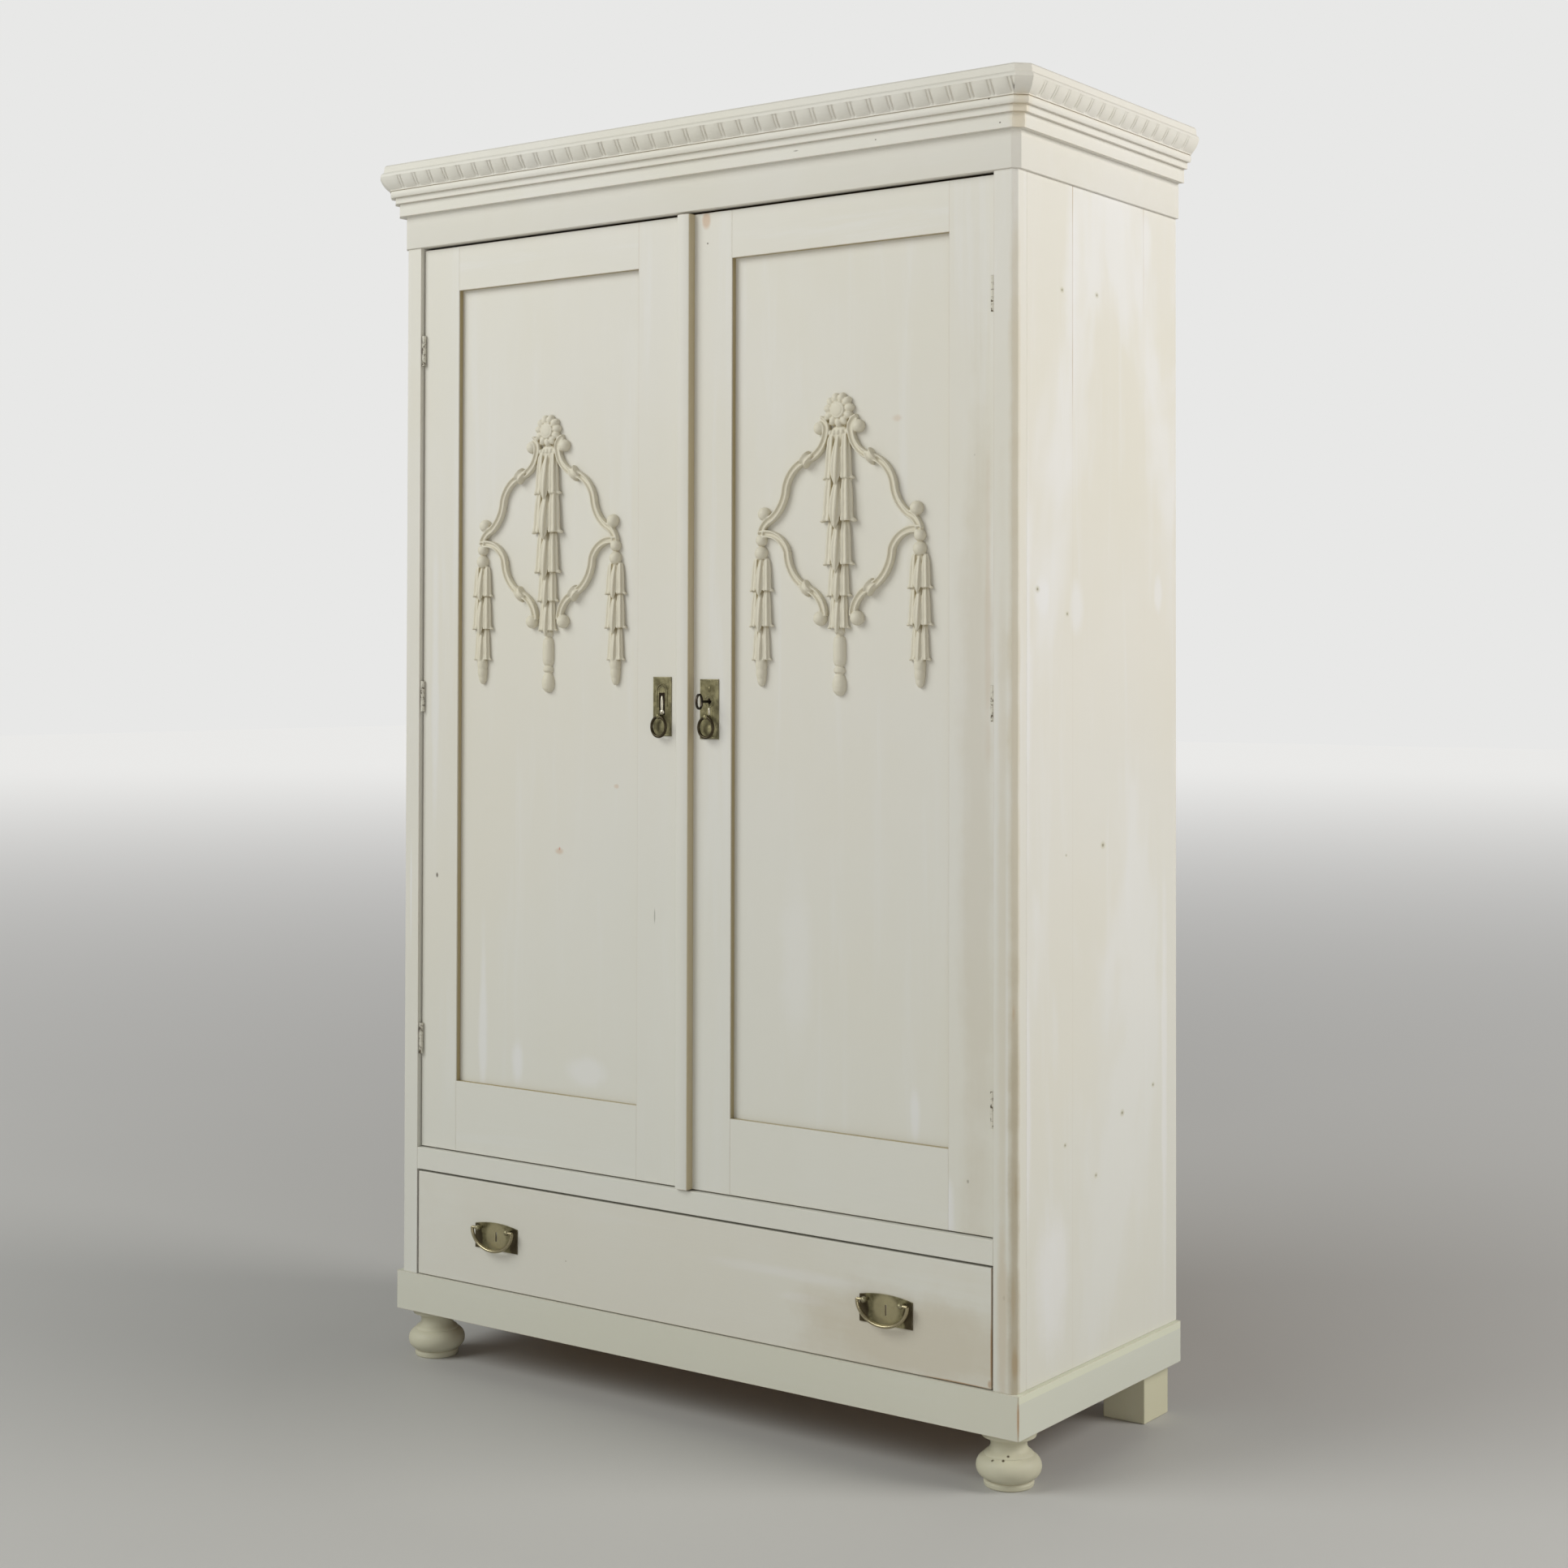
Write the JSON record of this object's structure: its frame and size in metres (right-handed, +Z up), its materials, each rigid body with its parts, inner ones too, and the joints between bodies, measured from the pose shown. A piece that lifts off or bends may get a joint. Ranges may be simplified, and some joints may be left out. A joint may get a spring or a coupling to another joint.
{
  "type": "linen cupboard",
  "caption": "Painted wooden wardrobe on a plinth with turned front feet, panelled doors with carved drops, a drawer below and a moulded cornice.",
  "frame": {"origin": "On the floor, at the centre of the bounding box seen from above.", "axes": "+X to the right as seen from the front, -Y towards the front with the doors, +Z up."},
  "size_m": [1.247, 0.519, 1.959],
  "materials": {
    "painted_wood": "aged cream paint, satin, worn at the edges",
    "bare_pine": "bare aged pine",
    "old_brass": "patinated pressed brass",
    "dark_iron": "dark worn iron",
    "hinge_steel": "steel painted over with the doors"
  },
  "bodies": {
    "carcass": {"side_left": "painted_wood", "side_right": "painted_wood", "stile_left": "painted_wood", "stile_right": "painted_wood", "mid_rail": "painted_wood", "plinth_front": "painted_wood", "plinth_left": "painted_wood", "plinth_right": "painted_wood", "bun_feet": "painted_wood", "block_feet": "painted_wood", "frieze_front": "painted_wood", "frieze_left": "painted_wood", "frieze_right": "painted_wood", "cornice_front": "painted_wood", "cornice_left": "painted_wood", "cornice_right": "painted_wood", "crown_board": "painted_wood", "bottom_board": "bare_pine", "floor_board": "bare_pine", "ceiling_board": "bare_pine", "back_boards": "bare_pine", "shelves": "bare_pine", "side_cleats": "bare_pine", "frieze_rear": "bare_pine", "plinth_rear": "bare_pine", "corner_blocks": "bare_pine", "frame_hinge_leaves": "hinge_steel", "hinge_pins": "hinge_steel"},
    "left_door": {"left_hinge_stile": "painted_wood", "left_lock_stile": "painted_wood", "left_top_rail": "painted_wood", "left_bottom_rail": "painted_wood", "left_panel": "painted_wood", "left_ornament": "painted_wood", "left_hinge_leaves": "hinge_steel", "left_lock_plate": "old_brass", "left_bolt_guides": "dark_iron"},
    "right_door": {"right_hinge_stile": "painted_wood", "right_lock_stile": "painted_wood", "right_top_rail": "painted_wood", "right_bottom_rail": "painted_wood", "right_panel": "painted_wood", "right_ornament": "painted_wood", "cover_strip": "painted_wood", "right_hinge_leaves": "hinge_steel", "right_lock_plate": "old_brass", "lock_case": "dark_iron"},
    "drawer": {"drawer_front": "painted_wood", "drawer_sides": "bare_pine", "drawer_back": "bare_pine", "drawer_bottom": "bare_pine", "pull_plates": "old_brass"},
    "left_ring": {"left_ring": "old_brass"},
    "right_ring": {"right_ring": "old_brass"},
    "left_bail": {"left_bail": "old_brass"},
    "right_bail": {"right_bail": "old_brass"},
    "key": {"key": "dark_iron"},
    "lock_bolt": {"lock_bolt": "dark_iron"},
    "upper_bolt": {"upper_bolt": "dark_iron"},
    "lower_bolt": {"lower_bolt": "dark_iron"}
  },
  "joints": [
    {"name": "left_door_hinge", "type": "hinge", "parent": "carcass", "child": "left_door", "pos_m": [-0.545, -0.217, 1.084], "axis": [0, 0, -1], "range_deg": [0, 150]},
    {"name": "right_door_hinge", "type": "hinge", "parent": "carcass", "child": "right_door", "pos_m": [0.545, -0.217, 1.084], "axis": [0, 0, 1], "range_deg": [0, 150]},
    {"name": "drawer_slide", "type": "slide", "parent": "carcass", "child": "drawer", "axis": [0, -1, 0], "range_m": [0, 0.36]},
    {"name": "left_ring_swing", "type": "hinge", "parent": "left_door", "child": "left_ring", "pos_m": [-0.0423, -0.2235, 1.0584], "axis": [-1, 0, 0], "range_deg": [0, 180]},
    {"name": "right_ring_swing", "type": "hinge", "parent": "right_door", "child": "right_ring", "pos_m": [0.0483, -0.2235, 1.0584], "axis": [-1, 0, 0], "range_deg": [0, 120]},
    {"name": "left_bail_swing", "type": "hinge", "parent": "drawer", "child": "left_bail", "pos_m": [-0.3725, -0.2325, 0.236], "axis": [-1, 0, 0], "range_deg": [0, 180]},
    {"name": "right_bail_swing", "type": "hinge", "parent": "drawer", "child": "right_bail", "pos_m": [0.3725, -0.2325, 0.236], "axis": [-1, 0, 0], "range_deg": [0, 180]},
    {"name": "key_turn", "type": "hinge", "parent": "right_door", "child": "key", "pos_m": [0.0483, -0.2135, 1.0815], "axis": [0, -1, 0], "range_deg": [0, 360]},
    {"name": "lock_bolt_slide", "type": "slide", "parent": "right_door", "child": "lock_bolt", "axis": [-1, 0, 0], "range_m": [0, 0.01]},
    {"name": "upper_bolt_slide", "type": "slide", "parent": "left_door", "child": "upper_bolt", "axis": [0, 0, 1], "range_m": [0, 0.015]},
    {"name": "lower_bolt_slide", "type": "slide", "parent": "left_door", "child": "lower_bolt", "axis": [0, 0, -1], "range_m": [0, 0.015]}
  ],
  "couplings": [
    {"joint": "key_turn", "follows": "lock_bolt_slide", "rad_per_m": 628.32}
  ]
}
